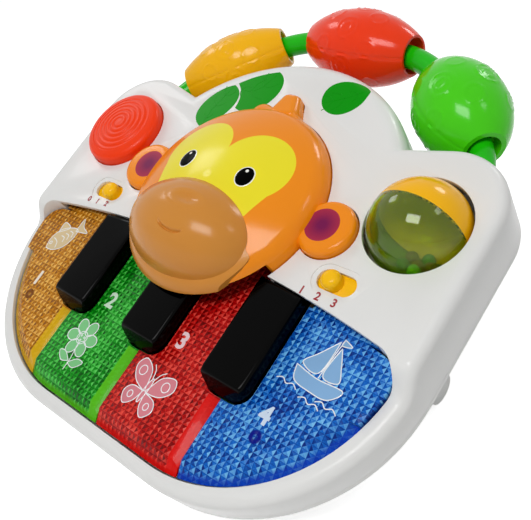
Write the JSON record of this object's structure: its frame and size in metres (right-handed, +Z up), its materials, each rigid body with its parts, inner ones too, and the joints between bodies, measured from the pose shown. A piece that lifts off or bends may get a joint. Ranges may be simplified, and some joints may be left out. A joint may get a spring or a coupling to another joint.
{
  "type": "toy electronic keyboard",
  "caption": "Toddler piano with a monkey-face press button, translucent colour keys, rattle spinner and a carrying handle with turning beads, standing on fold-out legs.",
  "frame": {"origin": "centre of the bounding box on the floor, midway between the sides and between the front foot end and the handle", "axes": "+Z up, +X to the right of a player who sits at the keys, +Y away from the player towards the carrying handle"},
  "size_m": [0.261, 0.2286, 0.1762],
  "materials": {
    "white_shell": "satin",
    "black_key": "gloss",
    "amber_clear": "translucent gloss",
    "green_clear": "translucent gloss",
    "red_clear": "translucent gloss",
    "blue_clear": "translucent gloss",
    "orange_head": "gloss",
    "mask_yellow": "gloss",
    "muzzle_brown": "gloss",
    "inner_ear": "gloss",
    "eye_black": "gloss",
    "button_orange": "satin",
    "yellow_plastic": "gloss",
    "green_window": "clear tinted",
    "rattle": "gloss",
    "bead_orange": "gloss",
    "bead_green": "gloss",
    "tube_green": "gloss",
    "leaf_green": "gloss",
    "slider_orange": "gloss",
    "dark_plastic": "matte",
    "circuit_green": "satin",
    "silicone": "matte",
    "foot_rubber": "matte",
    "steel": "satin",
    "cell_jacket": "satin",
    "speaker_black": "matte"
  },
  "bodies": {
    "case": {"front_cover": "white_shell", "rear_cover": "white_shell", "case_screws": "steel", "rubber_feet": "foot_rubber", "leg_pins": "steel", "handle_tube": "tube_green", "key_rod": "steel", "main_board": "circuit_green", "board_screws": "steel", "board_chips": "dark_plastic", "speaker": "speaker_black", "battery_cells": "cell_jacket", "battery_contacts": "steel", "leaves": "leaf_green", "switch_boards": "circuit_green", "head_pad": "silicone", "button_pad": "silicone", "amber_key_dome": "silicone", "green_key_dome": "silicone", "red_key_dome": "silicone", "blue_key_dome": "silicone", "left_black_key_dome": "silicone", "middle_black_key_dome": "silicone", "right_black_key_dome": "silicone"},
    "head": {"head_shell": "orange_head", "face_mask": "mask_yellow", "muzzle": "muzzle_brown", "ear_inlays": "inner_ear", "eyes": "eye_black"},
    "button": {"round_button": "button_orange"},
    "spinner": {"spinner_yellow_half": "yellow_plastic", "spinner_clear_half": "green_window", "rattle_beads": "rattle"},
    "left_slider": {"left_switch_knob": "slider_orange"},
    "right_slider": {"right_switch_knob": "slider_orange"},
    "battery_cover": {"battery_door": "white_shell", "battery_door_screw": "steel"},
    "yellow_bead_body": {"yellow_bead": "yellow_plastic"},
    "red_bead_body": {"red_bead": "bead_orange"},
    "green_bead_body": {"green_bead": "bead_green"},
    "left_leg_body": {"left_leg": "white_shell"},
    "right_leg_body": {"right_leg": "white_shell"},
    "amber_key_body": {"amber_key": "amber_clear"},
    "green_key_body": {"green_key": "green_clear"},
    "red_key_body": {"red_key": "red_clear"},
    "blue_key_body": {"blue_key": "blue_clear"},
    "left_black_key_body": {"left_black_key": "black_key"},
    "middle_black_key_body": {"middle_black_key": "black_key"},
    "right_black_key_body": {"right_black_key": "black_key"}
  },
  "joints": [
    {"name": "amber_key_hinge", "type": "hinge", "parent": "case", "child": "amber_key_body", "pos_m": [-0.0907, -0.02666, 0.07938], "axis": [1, 0, 0], "range_deg": [0, 1.7], "stiffness_Nm_per_rad": 2, "springref_deg": -1.72, "deforming": ["amber_key_dome"]},
    {"name": "green_key_hinge", "type": "hinge", "parent": "case", "child": "green_key_body", "pos_m": [-0.0279, -0.02666, 0.07938], "axis": [1, 0, 0], "range_deg": [0, 1.7], "stiffness_Nm_per_rad": 2, "springref_deg": -1.72, "deforming": ["green_key_dome"]},
    {"name": "red_key_hinge", "type": "hinge", "parent": "case", "child": "red_key_body", "pos_m": [0.0279, -0.02666, 0.07938], "axis": [1, 0, 0], "range_deg": [0, 1.7], "stiffness_Nm_per_rad": 2, "springref_deg": -1.72, "deforming": ["red_key_dome"]},
    {"name": "blue_key_hinge", "type": "hinge", "parent": "case", "child": "blue_key_body", "pos_m": [0.0907, -0.02666, 0.07938], "axis": [1, 0, 0], "range_deg": [0, 1.7], "stiffness_Nm_per_rad": 2, "springref_deg": -1.72, "deforming": ["blue_key_dome"]},
    {"name": "left_black_key_hinge", "type": "hinge", "parent": "case", "child": "left_black_key_body", "pos_m": [-0.0558, -0.02666, 0.07938], "axis": [1, 0, 0], "range_deg": [0, 2.3], "stiffness_Nm_per_rad": 2, "springref_deg": -1.72, "deforming": ["left_black_key_dome"]},
    {"name": "middle_black_key_hinge", "type": "hinge", "parent": "case", "child": "middle_black_key_body", "pos_m": [0, -0.02666, 0.07938], "axis": [1, 0, 0], "range_deg": [0, 2.3], "stiffness_Nm_per_rad": 2, "springref_deg": -1.72, "deforming": ["middle_black_key_dome"]},
    {"name": "right_black_key_hinge", "type": "hinge", "parent": "case", "child": "right_black_key_body", "pos_m": [0.0558, -0.02666, 0.07938], "axis": [1, 0, 0], "range_deg": [0, 2.3], "stiffness_Nm_per_rad": 2, "springref_deg": -1.72, "deforming": ["right_black_key_dome"]},
    {"name": "head_press", "type": "slide", "parent": "case", "child": "head", "axis": [0, 0.5755, -0.8178], "range_m": [0, 0.0025], "stiffness_N_per_m": 800, "springref_m": -0.004, "deforming": ["head_pad"]},
    {"name": "button_press", "type": "slide", "parent": "case", "child": "button", "axis": [0, 0.5755, -0.8178], "range_m": [0, 0.0025], "stiffness_N_per_m": 500, "springref_m": -0.003, "deforming": ["button_pad"]},
    {"name": "spinner_turn", "type": "hinge", "parent": "case", "child": "spinner", "pos_m": [0.098, 0.00284, 0.1087], "axis": [1, 0, 0], "continuous": true},
    {"name": "left_switch_slide", "type": "slide", "parent": "case", "child": "left_slider", "axis": [1, 0, 0], "range_m": [-0.0072, 0.0028]},
    {"name": "right_switch_slide", "type": "slide", "parent": "case", "child": "right_slider", "axis": [1, 0, 0], "range_m": [-0.0028, 0.0072]},
    {"name": "yellow_bead_turn", "type": "hinge", "parent": "case", "child": "yellow_bead_body", "pos_m": [-0.07514, 0.07064, 0.13929], "axis": [0.757, 0.5344, 0.3761], "continuous": true},
    {"name": "red_bead_turn", "type": "hinge", "parent": "case", "child": "red_bead_body", "pos_m": [0, 0.09349, 0.15537], "axis": [1, 0, 0], "continuous": true},
    {"name": "green_bead_turn", "type": "hinge", "parent": "case", "child": "green_bead_body", "pos_m": [0.07514, 0.07064, 0.13929], "axis": [0.757, -0.5344, -0.3761], "continuous": true},
    {"name": "left_leg_fold", "type": "hinge", "parent": "case", "child": "left_leg_body", "pos_m": [-0.0965, -0.01149, 0.07171], "axis": [-1, 0, 0], "range_deg": [0, 88.6]},
    {"name": "right_leg_fold", "type": "hinge", "parent": "case", "child": "right_leg_body", "pos_m": [0.0965, -0.01149, 0.07171], "axis": [-1, 0, 0], "range_deg": [0, 88.6]},
    {"name": "battery_door_lift", "type": "slide", "parent": "case", "child": "battery_cover", "axis": [0, 0.5755, -0.8178], "range_m": [0, 0.025]}
  ]
}
